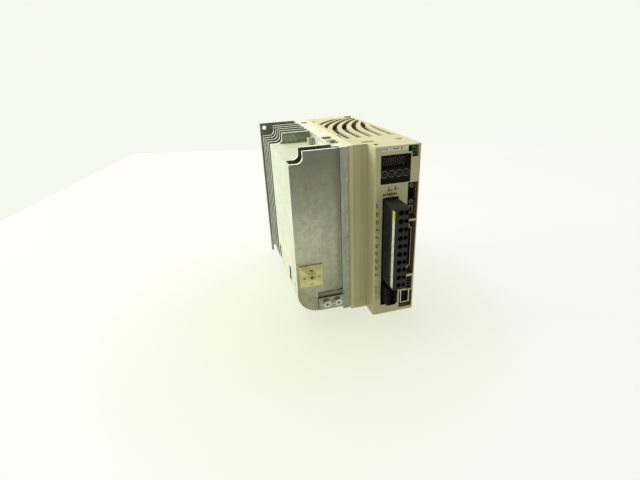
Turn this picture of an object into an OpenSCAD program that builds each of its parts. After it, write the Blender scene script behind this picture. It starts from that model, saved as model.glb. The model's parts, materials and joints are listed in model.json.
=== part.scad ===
// Servo drive in a book-shaped housing: an aluminium heat sink with a sheet metal side box on the
// left, a plastic case with two circuit boards on the right, and pull-out terminal plugs in front.
// Millimetres. +X is to the right seen from the front, +Z is up, and the front faces -Y.
// The origin is the centre of the four mounting positions, on the rear face of the mounting plate.

/* [Overall] */
// Width across the front of the drive
body_w = 110; // [110:1:116]
// Height of the drive
body_h = 160; // [160:1:166]
// Depth from the rear mounting face to the front cover
body_d = 180; // [180:1:184]

/* [Mounting plate] */
// Thickness of the rear mounting plate
plate_t = 2.5; // [2:0.5:3]
// Distance from each edge to the mounting hole centres
hole_inset = 5; // [5:0.5:6]
// Diameter of the mounting holes
hole_d = 4.6; // [4.3:0.1:5]

/* [Heat sink] */
// Distance from the left edge to the heat sink's base wall
spine_x = 40; // [38:0.5:40]
// Number of cooling fins
fin_count = 5; // [3:1:5]
// Distance from one fin to the next
fin_pitch = 12.5; // [11:0.5:12.5]
// Thickness of a fin
fin_t = 2.6; // [2:0.1:3.2]
// Distance from the rear face to the first fin
first_fin_d = 24; // [20:1:24]

/* [Side box] */
// Thickness of the side box's sheet metal
sheet_t = 1.2; // [1:0.1:1.5]
// Radius of the side box's lower edge
box_r = 20; // [16:1:20]
// Height of the step that keeps the mounting screws reachable
corner_h = 10; // [9:0.5:10]
// Width of that step
corner_w = 12; // [11:0.5:12]

/* [Case] */
// Wall thickness of the plastic case and front cover
wall_t = 2; // [1.6:0.1:2.2]
// Depth from the rear face to the seam between case and cover
seam_d = 148; // [146:1:150]
// Number of ventilation slots
vent_count = 7; // [5:1:7]
// Width of a ventilation slot
vent_w = 5; // [3:0.1:5]

/* [Terminals] */
// Number of poles on the power plug
pole_count = 10; // [6:1:10]
// Distance from one pole to the next
pole_pitch = 7.5; // [7.2:0.1:7.5]

/* [Buttons] */
// Diameter of a push button
button_d = 5.2; // [4.6:0.1:5.2]
// How far a button travels when pressed
button_travel = 0.6; // [0.4:0.1:0.6]

/* [Hidden] */
$fn = 48;

// The left, bottom and rear edges are the zero of the panel measures used below:
// x from the left edge, d as the depth from the rear face, z from the bottom edge.
left = -body_w / 2;
bottom = -body_h / 2;
gap = 0.1;

// Front cover and seam
front_d = body_d;
setback_d = front_d - 17;
step_x = 68.8;
case_x = spine_x + 10.5;
case_d = plate_t + gap;
lip_h = 9;
floor_d = front_d - 12;
floor_t = 1.4;

// Heat sink
spine_end_d = front_d - 20;
strip_x = spine_x + 3.8;
strip_d = front_d - 14;
spine_x1 = case_x - gap;
front_fin_t = 3.5;
front_fin_d = first_fin_d + (fin_count - 1) * fin_pitch;
corner_r = 5;

// Side box, between the last rear fin and the fin behind the front plate
box_d = front_fin_d + front_fin_t + gap;
end_fin_d = front_d - 31.5;
box_end_d = end_fin_d - gap;
box_low_z = 7.5;

// Front metal plate and the parts on it
plate_d0 = front_d - 16;
plate_d1 = front_d - 13.4;
plate_x1 = strip_x - 0.2;
ground_x = [27, 38];
ground_block_x = 19.5;
ground_z = 15.4;
ground_hole_r = 2;

// Vent slots
vent_pitch = 10.3;
vent_first_x = 42.6;
vent_bend_d = 105;
vent_bend_r = 110;
vent_area_x = [60, 106.8];
vent_area_d = [18, 134];

// Display and buttons
panel_x = [74.2, 101];
panel_z = [128.5, 152.8];
window_x = [76, 99];
window_z = [142, 151.5];
button_x = [for (i = [0:3]) 77.4 + i * 6.45];
button_z = 137;
panel_board_d = front_d - 10.1;
panel_board_t = 1.6;
digit_pitch = 4.1;
digit_w = 2.5;
digit_h = 5.6;
bar_w = 0.45;

// Terminal header and its two plugs
header_x = [76.4, 91.2];
header_z = [9.6, 116.5];
header_wall = 1;
header_back_d = front_d - 22;
plug_x = [header_x[0] + 1.3, header_x[1] - 1.3];
plug_front_d = front_d + 23;
plug_rear_d = front_d - 18;
first_pole_z = 43.1;
plug_z = [first_pole_z - 4.3, first_pole_z + (pole_count - 1) * pole_pitch + 4.7];
motor_front_d = front_d + 11;
motor_z = [14.5, 34];
motor_poles_z = [for (i = [0:2]) 19 + i * 5.6];
pole_x = 83.6;

// Connectors on the control board
board_x = 104.8;
board_t = 1.6;
board_front_d = front_d - 14;
board_rear_d = 20;
// The sockets pass in front of the board's edge from here on
socket_d = board_front_d + 0.2;
io_z = [46.5, 85.5];
encoder_z = [7.3, 21];
serial_z = [111.5, 121];
usb_z = [98.5, 105.5];
safety_z = [22.6, 35.8];
bay_x = 95.3;
bay_top_z = 127.3;

// Power board and what it carries
power_x = 62;
module_x = spine_x1 + 0.5;
power_side_x = power_x + board_t;
standoff_places = [for (d = [26, 146]) for (z = [14, 146]) [d, z]];

// ---- Helpers ----

// Block given by its ranges of x, depth and z in panel measures
module block(x, d, z) {
    translate([left + x[0], -d[1], bottom + z[0]])
        cube([x[1] - x[0], d[1] - d[0], z[1] - z[0]]);
}

// Outline seen from the front, in panel x and z, extruded over a range of depth
module seen_from_front(d) {
    translate([left, -d[0], bottom])
        rotate([90, 0, 0])
            linear_extrude(d[1] - d[0])
                children();
}

// Stands its children's +Z axis out of the front, the rear, the left or the right
module to_front(x, d, z) {
    translate([left + x, -d, bottom + z]) rotate([90, 0, 0]) children();
}

module to_rear(x, d, z) {
    translate([left + x, -d, bottom + z]) rotate([-90, 0, 0]) children();
}

module to_left(x, d, z) {
    translate([left + x, -d, bottom + z]) rotate([0, -90, 0]) children();
}

module to_right(x, d, z) {
    translate([left + x, -d, bottom + z]) rotate([0, 90, 0]) children();
}

// Pan-head screw with a cross recess: the head stands on z = 0 and the shank goes down
module screw(head_r, head_h, shank_r, shank_l) {
    difference() {
        union() {
            cylinder(r = head_r, h = head_h);
            translate([0, 0, -shank_l]) cylinder(r = shank_r, h = shank_l + head_h / 2);
        }
        for (turn = [0, 90])
            rotate([0, 0, turn])
                translate([-head_r * 0.6, -head_r * 0.12, head_h * 0.45])
                    cube([head_r * 1.2, head_r * 0.24, head_h]);
    }
}

// Step cut from an upper left corner, with a rounded inner corner, as an outline
module corner_step() {
    square([corner_w - corner_r, corner_h]);
    translate([0, corner_h - corner_r]) square([corner_w, corner_r]);
    translate([corner_w - corner_r, corner_r]) circle(corner_r);
}

// What the step takes away from the upper left corner of a plate or fin as high as the body
module top_corner() {
    translate([-1, body_h - corner_h]) square([2, corner_h + 1]);
    translate([0, body_h - corner_h]) corner_step();
    translate([0, body_h - gap]) square([corner_w, 1]);
}

// ---- Chassis ----

plate_screw_z = [for (i = [0:3]) 20 + i * 40];
plate_screw_x = spine_x + 5.2;

module mounting_plate() {
    recess_x = [48, 101.6];
    color("silver") difference() {
        block([0, body_w], [0, plate_t], [0, body_h]);
        block(recess_x, [-1, plate_t + 1], [body_h - 10, body_h + 1]);
        block(recess_x, [-1, plate_t + 1], [-1, 10]);
        for (x = [hole_inset, body_w - hole_inset]) {
            to_front(x, -1, body_h - hole_inset) cylinder(d = hole_d, h = plate_t + 2);
            to_front(x, -1, hole_inset) cylinder(d = hole_d, h = plate_t + 2);
            block([x - hole_d / 2, x + hole_d / 2], [-1, plate_t + 1], [-1, hole_inset]);
        }
        for (z = plate_screw_z) {
            to_rear(plate_screw_x, 1.4, z) cylinder(r = 3.1, h = 3);
            to_rear(plate_screw_x, plate_t + 1, z) cylinder(r = 1.7, h = 6);
        }
    }
}

module plate_screws() {
    color("gray")
        for (z = plate_screw_z)
            to_rear(plate_screw_x, 1.4, z) screw(3, 1.2, 1.5, 9);
}

// Outline of the fins and the front plate: stepped at the top left, round at the bottom left
module fin_outline(x0, x1) {
    centre_z = box_low_z + box_r;
    difference() {
        union() {
            translate([x0, centre_z]) square([x1 - x0, body_h - centre_z]);
            translate([box_r, box_low_z + x0]) square([x1 - box_r, box_r]);
            intersection() {
                translate([box_r, centre_z]) circle(box_r - x0, $fn = 96);
                square([box_r, centre_z]);
            }
        }
        top_corner();
    }
}

module fin(d, t, x0) {
    seen_from_front([d, d + t]) fin_outline(x0, spine_x);
}

module heat_sink() {
    color("lightgray") difference() {
        union() {
            block([spine_x, spine_x1], [plate_t, spine_end_d], [0, body_h]);
            block([strip_x, spine_x1], [plate_t, strip_d], [0, body_h]);
            for (i = [0:fin_count - 2]) fin(first_fin_d + i * fin_pitch, fin_t, 0);
            fin(front_fin_d, front_fin_t, 0);
            fin(end_fin_d, fin_t, sheet_t + gap);
        }
        // the lower edge of the base wall steps up toward the front
        block([spine_x - 1, spine_x1 + 1], [120, strip_d + 1], [-1, 4]);
        // pockets in the top edge of the base wall
        block([spine_x + 1, spine_x1 + 1], [116, 127], [body_h - 3, body_h + 1]);
        block([strip_x, spine_x1 + 1], [20, 28], [body_h - 3, body_h + 1]);
        // screw holes from the rear, for the side box and for what is bolted to the right face
        for (z = plate_screw_z)
            to_front(plate_screw_x, 1, z) cylinder(r = 1.55, h = 12);
        for (p = spine_screws_right)
            to_left(spine_x1 + 1, p[0], p[1]) cylinder(r = 1.55, h = 8);
        for (p = resistor_screw_places)
            to_right(spine_x - 1, p[0], p[1]) cylinder(r = 1.55, h = 6);
    }
}

module front_plate() {
    face_x1 = spine_x + 1.2;
    color("silver") {
        seen_from_front([plate_d0, plate_d1]) difference() {
            fin_outline(0, face_x1);
            ground_cutout();
        }
        // lower band along the right edge, and the flange that holds the plate on the base wall
        block([face_x1 - 1, plate_x1], [plate_d0, plate_d1 - 1.2], [27, body_h]);
        block([spine_x, spine_x + 1.5], [spine_end_d + gap, plate_d0 + 1], [28, body_h - 1]);
    }
}

// Space around the ground terminals
module ground_cutout() {
    translate([ground_block_x - gap, -1]) square([spine_x, 28]);
}

// Cross-section of the side box, seen from the front
module box_outline(inset) {
    top_z = body_h - corner_h - inset;
    low_z = box_low_z + inset;
    centre_z = box_low_z + box_r;
    translate([inset, centre_z]) square([spine_x - gap - inset * 2, top_z - centre_z]);
    translate([box_r, low_z]) square([spine_x - gap - inset - box_r, box_r]);
    intersection() {
        translate([box_r, centre_z]) circle(box_r - inset, $fn = 96);
        square([box_r, centre_z]);
    }
}

module side_cover() {
    slot_z = [box_low_z + box_r, 43.5];
    color("honeydew") difference() {
        seen_from_front([box_d, plate_d0 - gap]) box_outline(0);
        seen_from_front([box_d + sheet_t, plate_d0 + 1]) box_outline(sheet_t);
        // in front of the box only its left side goes on, up to the front plate
        block([sheet_t, spine_x + 1], [box_end_d, plate_d0 + 1], [-1, body_h]);
        // the side against the base wall is open
        block([spine_x - 4, spine_x + 1], [box_d + sheet_t, plate_d0 + 1],
              [box_low_z + sheet_t, body_h - corner_h - sheet_t]);
        // slots and a hole near the bottom of the side
        for (d = [box_d + 1.6, 132.5])
            block([-1, sheet_t + 1], [d, d + 7], slot_z);
        to_right(-1, 157, 35) cylinder(r = 1.6, h = 4);
        // hole for the post on top
        translate([left + post_x, -post_d, bottom + body_h - corner_h - 3]) cylinder(r = 1.55, h = 5);
    }
}

post_x = 36.4;
post_d = 94;

module standoff_post() {
    base_z = bottom + body_h - corner_h;
    color("silver") translate([left + post_x, -post_d, base_z]) difference() {
        union() {
            cylinder(r = 3, h = 6.5, $fn = 6);
            translate([0, 0, -5]) cylinder(r = 1.5, h = 6);
        }
        translate([0, 0, 1.5]) cylinder(r = 1.3, h = 6);
    }
}

module retaining_clip() {
    clip_d = [135, 147];
    top = body_h;
    color("silver") {
        block([spine_x + 0.5, spine_x + 8.5], clip_d, [top, top + 0.8]);
        block([spine_x + 2, spine_x + 7], [clip_d[0] + 3, clip_d[1] - 3], [top + 0.8, top + 1.8]);
    }
}

// Adhesive square with a low pyramid on it, and crossing tunnels for a cable tie
module tie_mount() {
    x = [3, 24];
    z = [36.2, 57.4];
    base_t = 1.6;
    tall = 4.6;
    mid_x = (x[0] + x[1]) / 2;
    mid_z = (z[0] + z[1]) / 2;
    tunnel_w = 3.4;
    tunnel_l = 8.4;
    tunnel_d = [plate_d1 + base_t + 0.1, plate_d1 + base_t + 1.7];
    color("khaki") difference() {
        union() {
            block(x, [plate_d1, plate_d1 + base_t], z);
            hull() {
                block([x[0] + 0.8, x[1] - 0.8], [plate_d1 + base_t, plate_d1 + base_t + 0.1],
                      [z[0] + 0.8, z[1] - 0.8]);
                block([mid_x - 2.5, mid_x + 2.5], [plate_d1 + tall - 0.2, plate_d1 + tall],
                      [mid_z - 2.5, mid_z + 2.5]);
            }
        }
        block([mid_x - tunnel_l, mid_x + tunnel_l], tunnel_d,
              [mid_z - tunnel_w / 2, mid_z + tunnel_w / 2]);
        block([mid_x - tunnel_w / 2, mid_x + tunnel_w / 2], tunnel_d,
              [mid_z - tunnel_l, mid_z + tunnel_l]);
        to_front(mid_x, plate_d1 - 1, mid_z) cylinder(r = 1.3, h = tall + 2);
    }
}

ground_d0 = spine_end_d;
ground_d1 = front_d - 12;

// Terminal block with a lower shoulder that fills the notch of the front plate
module ground_block() {
    x = [ground_block_x, plate_x1];
    top_z = 21.4;
    color("silver") difference() {
        union() {
            block(x, [ground_d0, ground_d1], [box_low_z + 0.8, top_z]);
            block(x, [ground_d0, plate_d1 - 0.5], [top_z - 1, top_z + 4.8]);
        }
        for (x = ground_x)
            to_front(x, ground_d0 - 1, ground_z) cylinder(r = ground_hole_r, h = 20);
    }
}

module ground_washers() {
    color("silver")
        for (x = ground_x)
            to_front(x, ground_d1, ground_z) difference() {
                cylinder(r = 4, h = 0.8);
                translate([0, 0, -1]) cylinder(r = 2.15, h = 3);
            }
}

module ground_screws() {
    color("gainsboro")
        for (x = ground_x)
            to_front(x, ground_d1 + 0.8, ground_z) screw(3.4, 2.4, 1.95, 7.8);
}

// ---- Plastic housing ----

case_screw_places = [for (d = [40, 110]) for (z = [5.5, body_h - 5.5]) [d, z]];
module_places = [[67, 27], [67, 93], [123, 27], [123, 93]];
rectifier_places = [[78, 103], [78, 137]];
spine_screws_right = concat(case_screw_places, module_places, rectifier_places);

// Outline of the curved vent slots, seen from above
module vent_outline() {
    for (k = [0:vent_count - 1])
        intersection() {
            translate([vent_area_x[0], -vent_area_d[1]])
                square([vent_area_x[1] - vent_area_x[0], vent_area_d[1] - vent_area_d[0]]);
            translate([vent_first_x + k * vent_pitch, -vent_bend_d]) {
                translate([-vent_w / 2, -60]) square([vent_w, 60.01]);
                intersection() {
                    translate([vent_bend_r, 0]) difference() {
                        circle(vent_bend_r + vent_w / 2, $fn = 180);
                        circle(vent_bend_r - vent_w / 2, $fn = 180);
                    }
                    translate([-vent_w, 0]) square([vent_bend_r, vent_bend_r]);
                }
            }
        }
}

// The case steps in along its right rear edge, to leave room for the heads of the mounting screws
relief_x = body_w - 10;
relief_d = 14;
latch_x = [[66.5, 78], [98, 104.5]];
latch_d = [153.2, 156.8];
label_d = [46, 118];
label_z = [52, 108];

module main_case() {
    color("wheat") difference() {
        union() {
            difference() {
                block([case_x, body_w], [case_d, seam_d], [0, body_h]);
                block([case_x + wall_t, relief_x - wall_t], [case_d + wall_t, seam_d + 1],
                      [wall_t, body_h - wall_t]);
                block([relief_x - wall_t - 1, body_w - wall_t], [relief_d + wall_t, seam_d + 1],
                      [wall_t, body_h - wall_t]);
            }
            // snap tongues under the cover's top wall, each with a nub in a window of the cover
            for (x = latch_x) {
                block([x[0] + 1, x[1] - 1], [seam_d - 6, latch_d[1] + 1],
                      [body_h - wall_t - 1.7, body_h - wall_t - 0.2]);
                block([x[0] + 1, x[1] - 1], [seam_d - 6, seam_d - 1], [body_h - wall_t - 1, body_h - 1]);
                block([x[0] + 1, x[1] - 1], [latch_d[1] - 2, latch_d[1] - 0.3],
                      [body_h - wall_t - 1, body_h - 1.2]);
            }
        }
        block([relief_x, body_w + 1], [0, relief_d], [-1, body_h + 1]);
        block([case_x - 1, case_x + wall_t + 1], [case_d + 12, seam_d + 1],
              [lip_h, body_h - lip_h]);
        for (z = [bottom - 1, bottom + body_h - wall_t - 1])
            translate([left, 0, z]) linear_extrude(wall_t + 2) vent_outline();
        // small slots beside the heat sink
        for (d = [[20, 28], [113, 126]])
            block([57.6, 59.4], d, [body_h - wall_t - 1, body_h + 1]);
        for (p = case_screw_places)
            to_left(case_x + wall_t + 1, p[0], p[1]) cylinder(r = 1.6, h = 4);
        // shallow field for the rating label on the right side, and grooves above and below it
        block([body_w - 0.4, body_w + 1], label_d, label_z);
        for (z = [26, 32, 38, 120, 126, 132])
            block([body_w - 0.6, body_w + 1], [30, 134], [z, z + 2]);
    }
}

// Area of a plan view, seen from above, given by its ranges of x and depth
module area(x, d) {
    translate([x[0], -d[1]]) square([x[1] - x[0], d[1] - d[0]]);
}

// Plan view of the front cover, with its vertical edges rounded
module cover_plan() {
    left_r = 1.5;
    step_r = 2.4;
    right_r = 1.2;
    area([case_x, body_w], [seam_d + gap, setback_d - left_r]);
    area([case_x + left_r, step_x + 1], [seam_d + gap, setback_d]);
    translate([case_x + left_r, left_r - setback_d]) circle(left_r);
    area([step_x, body_w], [setback_d - left_r, front_d - step_r]);
    area([step_x + step_r, body_w - right_r], [setback_d, front_d]);
    translate([step_x + step_r, step_r - front_d]) circle(step_r);
    area([body_w - right_r - 1, body_w], [setback_d, front_d - right_r]);
    translate([body_w - right_r, right_r - front_d]) circle(right_r);
}

module front_cover() {
    bay_x1 = body_w - 1.4;
    bay_end_d = front_d + 1;
    hole_d = [floor_d - 1, floor_d + floor_t + 1];
    hole_x1 = 106.9;
    color("wheat") difference() {
        union() {
            difference() {
                translate([left, 0, bottom]) linear_extrude(body_h) cover_plan();
                block([case_x - 1, body_w - wall_t], [seam_d - 1, setback_d - wall_t],
                      [wall_t, body_h - wall_t]);
                block([step_x + wall_t, body_w - wall_t], [setback_d - wall_t - 1, front_d - wall_t],
                      [wall_t, body_h - wall_t]);
            }
            // floor and side wall of the connector bays
            block([92, body_w - wall_t], [floor_d, floor_d + floor_t], [wall_t, bay_top_z]);
            block([92, 93.2], [floor_d, front_d - wall_t], [wall_t, bay_top_z]);
            // bars between the connector bays
            for (z = [[36.9, 38.5], [92, 94]])
                block([93.2, body_w - 1], [floor_d, front_d], z);
            // finger tab on the right side
            block([body_w - 1, body_w + 1.4], [152, 160], [150, 157]);
            // raised band beside the heat sink's front edge
            block([case_x + 1.6, case_x + 5.4], [setback_d - 1, setback_d + 0.7], [3, body_h]);
        }
        // display panel
        block(panel_x, [front_d - 4, bay_end_d], panel_z);
        // monitor connector
        block([98.3, 107.8], [front_d - 10, bay_end_d], [154, 159.2]);
        block([101.8, 107.8], [front_d - 10, bay_end_d], [149.5, 155]);
        // serial and service bay, signal bay, encoder bay and safety connector
        block([99.3, bay_x1], [front_d - wall_t - 1, bay_end_d], [94, 127.8]);
        block([bay_x, bay_x1], [front_d - wall_t - 1, bay_end_d], [38.5, 92]);
        block([bay_x, bay_x1], [front_d - wall_t - 1, bay_end_d], [3.2, 21.2]);
        block([101.9, 107.9], [floor_d - 1, bay_end_d], [safety_z[0] - 0.2, safety_z[1] + 0.2]);
        // terminal header
        block([header_x[0] - gap, header_x[1] + gap], [front_d - wall_t - 1, bay_end_d],
              [header_z[0] - gap, header_z[1] + gap]);
        // holes in the bay floor for the connectors
        block([97.6, hole_x1], hole_d, [io_z[0] - 4, io_z[1] + 4]);
        block([97, hole_x1], hole_d, [encoder_z[0] - 0.4, encoder_z[1] + 0.4]);
        block([100.8, hole_x1], hole_d, [106.8, 126.2]);
        block([101, hole_x1], hole_d, [usb_z[0] - 0.3, usb_z[1] + 0.3]);
        // window for each snap tongue of the case, and a slot in the top beside the front
        for (x = latch_x)
            block(x, latch_d, [body_h - wall_t - 1, body_h + 1]);
        block([72.8, 76], [166, 172.5], [body_h - wall_t - 1, body_h + 1]);
        // sloped lower left corner
        translate([left + case_x, -setback_d - 1, bottom]) rotate([0, 45, 0])
            translate([-2.2, 0, -2.2]) cube([4.4, setback_d - seam_d + 3, 4.4]);
    }
}

module rating_label() {
    color("lightgray")
        block([body_w - 0.4, body_w - 0.2], [label_d[0] + 0.5, label_d[1] - 0.5],
              [label_z[0] + 0.5, label_z[1] - 0.5]);
}

module name_label() {
    color("white") block([74.6, 97.8], [front_d, front_d + 0.2], [156.2, 159.4]);
}

// ---- Display and buttons ----

module display_bezel() {
    outer_x = [panel_x[0] + gap, panel_x[1] - gap];
    outer_z = [panel_z[0] + gap, panel_z[1] - gap];
    inner_d = front_d - 3.5;
    color("black") difference() {
        union() {
            block(outer_x, [inner_d, front_d + 0.2], outer_z);
            block([outer_x[0] - 1.2, outer_x[1]], [inner_d, front_d - wall_t - gap],
                  [outer_z[0] - 1, outer_z[1] + 1]);
            // posts that carry the display board
            for (p = [[74.8, 131], [100.2, 131], [74.8, 151.6], [100.2, 151.6]])
                to_front(p[0], panel_board_d + panel_board_t, p[1])
                    cylinder(r = 0.9, h = 6);
        }
        // window ledge and the opening behind it
        block(window_x, [front_d - 2, front_d + 1], window_z);
        block([window_x[0] + 0.6, window_x[1] - 0.6], [inner_d - 1, front_d],
              [window_z[0] + 0.5, window_z[1] - 0.5]);
        for (x = button_x)
            to_front(x, inner_d - 1, button_z) cylinder(r = button_d / 2 + 0.1, h = 6);
    }
}

module display_window() {
    color("dimgray") block([window_x[0] + 0.05, window_x[1] - 0.05], [front_d - 1.95, front_d],
                           [window_z[0] + 0.05, window_z[1] - 0.05]);
}

digit_face_d = front_d - 3.1;
digits_mid_x = (window_x[0] + window_x[1]) / 2;
digits_mid_z = (window_z[0] + window_z[1]) / 2;

module digit_display() {
    color("darkslategray")
        for (i = [-2:2])
            block([digits_mid_x + i * digit_pitch - digit_pitch / 2 + 0.05,
                   digits_mid_x + i * digit_pitch + digit_pitch / 2 - 0.05],
                  [panel_board_d + panel_board_t, digit_face_d],
                  [digits_mid_z - 3.9, digits_mid_z + 3.9]);
}

// One seven-segment figure, as separate bars
module figure() {
    half_w = digit_w / 2;
    half_h = digit_h / 2;
    bar_l = digit_w - bar_w * 1.4;
    upright_l = half_h - bar_w * 1.3;
    for (z = [-half_h, 0, half_h])
        translate([-bar_l / 2, z - bar_w / 2]) square([bar_l, bar_w]);
    for (x = [-half_w, half_w])
        for (z = [bar_w * 0.65, -upright_l - bar_w * 0.65])
            translate([x - bar_w / 2, z]) square([bar_w, upright_l]);
}

module digit_segments() {
    color("mistyrose")
        for (i = [-2:2])
            seen_from_front([digit_face_d, digit_face_d + 0.15])
                translate([digits_mid_x + i * digit_pitch, digits_mid_z]) figure();
}

module display_board() {
    color("darkgreen")
        block([73.6, 101.4], [panel_board_d, panel_board_d + panel_board_t], [129, 153.6]);
}

switch_top_d = panel_board_d + panel_board_t + 1.7;

module tact_switches() {
    color("dimgray")
        for (x = button_x)
            block([x - 2.2, x + 2.2], [panel_board_d + panel_board_t, switch_top_d],
                  [button_z - 2.2, button_z + 2.2]);
}

// Cap with a collar that rests behind the panel, and a pin that stops short of its switch
module push_button(i) {
    collar_d = front_d - 4.6;
    cap_l = 5;
    pin_d = switch_top_d + button_travel + gap;
    color("dimgray") to_front(button_x[i], 0, button_z) {
        translate([0, 0, collar_d]) cylinder(r = button_d / 2 + 0.5, h = 1);
        translate([0, 0, collar_d + 0.5]) cylinder(r = button_d / 2, h = cap_l);
        translate([0, 0, pin_d]) cylinder(r = 1, h = collar_d + 0.5 - pin_d);
    }
}

module mode_button() { push_button(0); }
module up_button() { push_button(1); }
module down_button() { push_button(2); }
module set_button() { push_button(3); }

// ---- Terminals ----

poles_z = [for (i = [0:pole_count - 1]) first_pole_z + i * pole_pitch];
all_poles_z = concat(motor_poles_z, poles_z);
divider_z = [motor_z[1] + 1.2, motor_z[1] + 3.2];

module terminal_header() {
    color("black") difference() {
        block(header_x, [header_back_d, front_d - 0.2], header_z);
        block([header_x[0] + header_wall, header_x[1] - header_wall],
              [header_back_d + 2, front_d + 1], [header_z[0] + header_wall, divider_z[0]]);
        block([header_x[0] + header_wall, header_x[1] - header_wall],
              [header_back_d + 2, front_d + 1], [divider_z[1], header_z[1] - header_wall]);
        for (z = all_poles_z)
            block([pole_x - 0.65, pole_x + 0.65], [header_back_d - 1, header_back_d + 3],
                  [z - 0.45, z + 0.45]);
    }
}

module header_pins() {
    color("gold")
        for (z = all_poles_z)
            block([pole_x - 0.6, pole_x + 0.6], [header_back_d - 4, front_d - 5],
                  [z - 0.4, z + 0.4]);
}

module terminal_board() {
    color("darkgreen") difference() {
        block([66, 96], [header_back_d - 1.7, header_back_d - gap], [8, 118]);
        for (z = all_poles_z)
            block([pole_x - 0.7, pole_x + 0.7], [header_back_d - 3, header_back_d + 1],
                  [z - 0.5, z + 0.5]);
    }
}

// Cavity for one pole: wire hole in front, clamp chamber, and a pin hole at the rear
module pole_cavity(z, face_d, chamber_d, wire_r) {
    to_front(pole_x - 0.5, chamber_d - 1, z) cylinder(r = wire_r, h = face_d - chamber_d + 2);
    block([pole_x - 3.2, pole_x + 3.2], [plug_rear_d + 1.6, chamber_d], [z - 2.5, z + 2.5]);
    block([pole_x - 1, pole_x + 1], [plug_rear_d - 1, plug_rear_d + 2], [z - 0.8, z + 0.8]);
}

module power_plug() {
    slot_x = 87.7;
    slot_half = 1.7;
    color("darkslategray") difference() {
        block(plug_x, [plug_rear_d, plug_front_d], plug_z);
        for (z = poles_z) {
            pole_cavity(z, plug_front_d, front_d + 7, 2.3);
            block([slot_x - slot_half, slot_x + slot_half], [front_d + 10, plug_front_d + 1],
                  [z - slot_half, z + slot_half]);
        }
        // grooves down the left side
        for (d = [front_d + 5, front_d + 11])
            block([plug_x[0] - 1, plug_x[0] + 0.6], [d, d + 2.4], [plug_z[0] + 3, plug_z[1] - 3]);
        // sloped upper edge of the face
        translate([left, -plug_front_d, bottom + plug_z[1]]) rotate([30, 0, 0])
            translate([plug_x[0] - 1, -3, -0.8]) cube([plug_x[1] - plug_x[0] + 2, 6, 3]);
    }
}

// Spring clamp cages, one for each pole
module cages(zs, d) {
    for (z = zs)
        difference() {
            block([pole_x - 3, pole_x + 3], d, [z - 2.2, z + 2.2]);
            block([pole_x - 2.4, pole_x + 2.4], [d[0] - 1, d[1] + 1], [z - 1.6, z + 1.6]);
        }
}

module plug_clamps() {
    color("silver") cages(poles_z, [plug_rear_d + 1.8, front_d + 6.8]);
}

module plug_label() {
    color("white")
        block([plug_x[0] - 0.25, plug_x[0]], [front_d + 18.4, front_d + 22.6],
              [plug_z[0] + 2, plug_z[1] - 3.4]);
}

module motor_plug() {
    x1 = 88.2;
    corner = 3.5;
    color("black") difference() {
        union() {
            block(plug_x, [plug_rear_d, front_d + 1], motor_z);
            // front half with round corners
            seen_from_front([front_d, motor_front_d]) {
                translate([plug_x[0], motor_z[0] + 1]) square([6, motor_z[1] - motor_z[0] - 2]);
                for (z = [motor_z[0] + 0.8 + corner, motor_z[1] - 0.8 - corner])
                    translate([x1 - corner, z]) circle(corner);
                translate([plug_x[0] + 2, motor_z[0] + 0.8])
                    square([x1 - corner - plug_x[0] - 2, motor_z[1] - motor_z[0] - 1.6]);
                translate([x1 - corner, motor_z[0] + 0.8 + corner])
                    square([corner, motor_z[1] - motor_z[0] - 1.6 - corner * 2]);
            }
            for (z = motor_poles_z)
                to_front(pole_x - 0.5, motor_front_d - 2, z) cylinder(r = 2.7, h = 3.2);
        }
        for (z = motor_poles_z)
            pole_cavity(z, motor_front_d + 2, front_d - 1, 2);
    }
}

module motor_clamps() {
    color("silver") cages(motor_poles_z, [plug_rear_d + 1.8, front_d - 1.2]);
}

// ---- Connectors ----

// Thin-walled metal shell around a connector
module shell(x, d, z, t) {
    difference() {
        block(x, d, z);
        block([x[0] + t, x[1] - t], [d[0] - 1, d[1] + 1], [z[0] + t, z[1] - t]);
    }
}

module io_socket() {
    color("black") {
        block([97.8, board_x], [152, socket_d], [io_z[0] - 2.5, io_z[1] + 2.5]);
        block([98.6, 105], [socket_d, socket_d + 3], [io_z[0] + 0.8, io_z[1] - 0.8]);
        block([101.1, 102.7], [socket_d, socket_d + 10.5], [io_z[0] + 3, io_z[1] - 3]);
    }
}

module io_shell() {
    color("silver") {
        shell([98, 105.6], [socket_d, socket_d + 12], io_z, 0.5);
        // latch ears
        for (z = [[io_z[0] - 3, io_z[0] + 0.2], [io_z[1] - 0.2, io_z[1] + 3]])
            block([99.6, 104], [socket_d, socket_d + 11], z);
    }
}

module encoder_socket() {
    color("black") {
        block([97.4, board_x], [152, socket_d], encoder_z);
        block([98.2, 105.4], [socket_d, socket_d + 4],
              [encoder_z[0] + 1, encoder_z[1] - 1]);
        block([100.4, 103.2], [socket_d, socket_d + 11],
              [encoder_z[0] + 3, encoder_z[1] - 3]);
    }
}

module encoder_shell() {
    color("silver")
        shell([97.4, 106.3], [socket_d, socket_d + 12.5], encoder_z, 0.7);
}

module serial_socket() {
    color("black") difference() {
        union() {
            block([101, board_x], [152, socket_d], [107, 126]);
            block([101.2, 106.6], [socket_d, socket_d + 1.5], [107.2, 125.8]);
            block([101.8, 106.4], [socket_d, socket_d + 10.5], serial_z);
        }
        block([102.7, 105.5], [socket_d + 3, socket_d + 12],
              [serial_z[0] + 1, serial_z[1] - 1]);
    }
}

module serial_nuts() {
    color("silver")
        for (z = [109.3, 123.7])
            to_front(104.4, socket_d + 1.5, z) difference() {
                cylinder(r = 1.9, h = 9, $fn = 6);
                translate([0, 0, 3]) cylinder(r = 1.1, h = 7);
            }
}

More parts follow.
